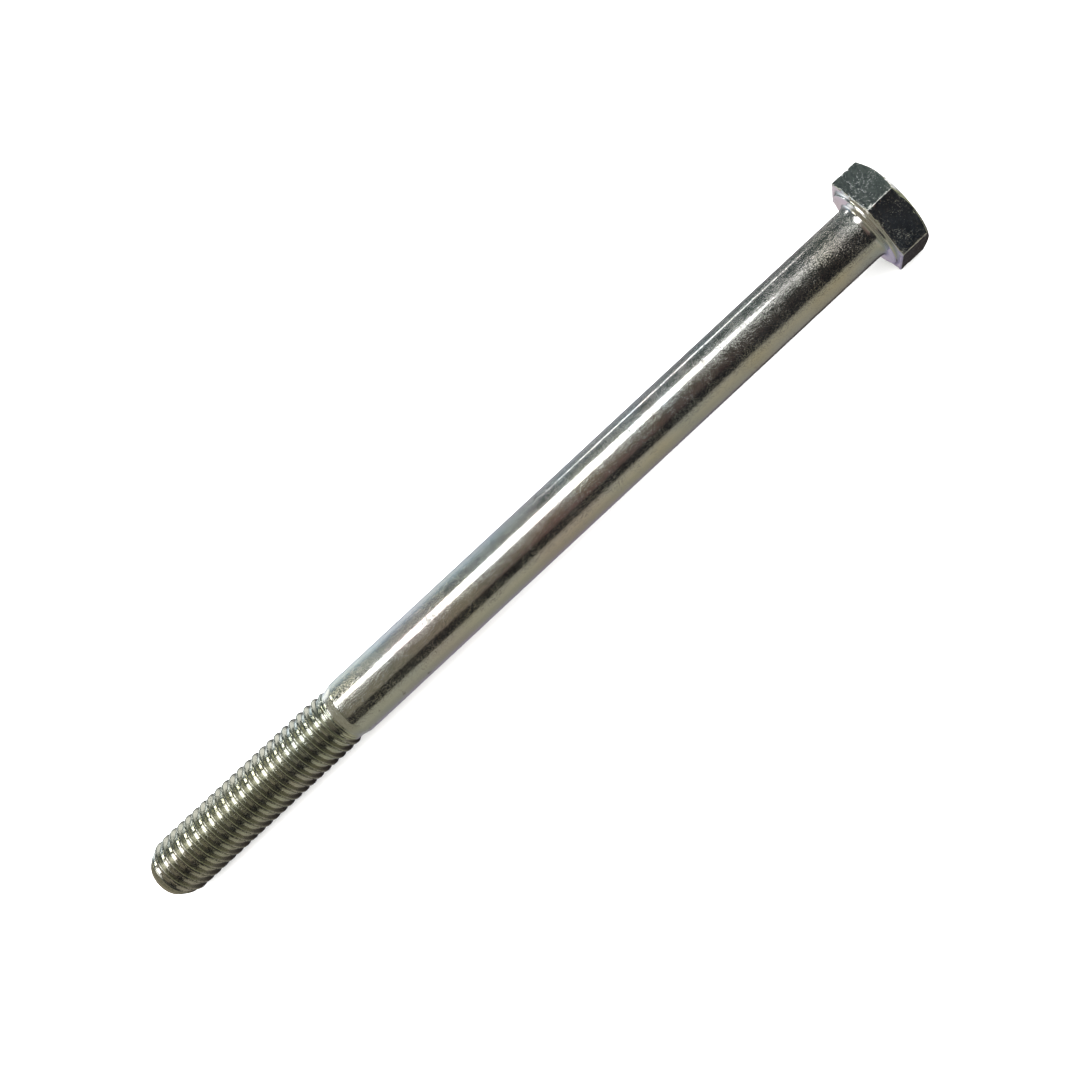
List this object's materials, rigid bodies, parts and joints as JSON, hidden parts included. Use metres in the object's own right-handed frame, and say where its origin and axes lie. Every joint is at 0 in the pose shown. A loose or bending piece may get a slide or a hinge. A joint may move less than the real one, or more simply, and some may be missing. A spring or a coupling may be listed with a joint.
{
  "type": "hex bolt",
  "caption": "Long hexagon head bolt in bright zinc plated steel, with a plain shank, a right-hand thread at its tip and a washer face under the head.",
  "frame": {"origin": "on the bolt's axis, in the bearing plane under the head", "axes": "+X along the bolt's axis from the tip to the head, so the shank runs to -X; +Z is the outward normal of one of the head's six flats, as on a bolt that lies on the opposite flat; +Y completes the right-handed set, towards a corner of the hexagon"},
  "size_m": [0.1253, 0.015, 0.013],
  "materials": {
    "zinc_plated_steel": "bright zinc plate with a clear passivation, fine draw marks and handling scratches"
  },
  "bodies": {
    "root": {"hex_bolt": "zinc_plated_steel"}
  },
  "joints": []
}
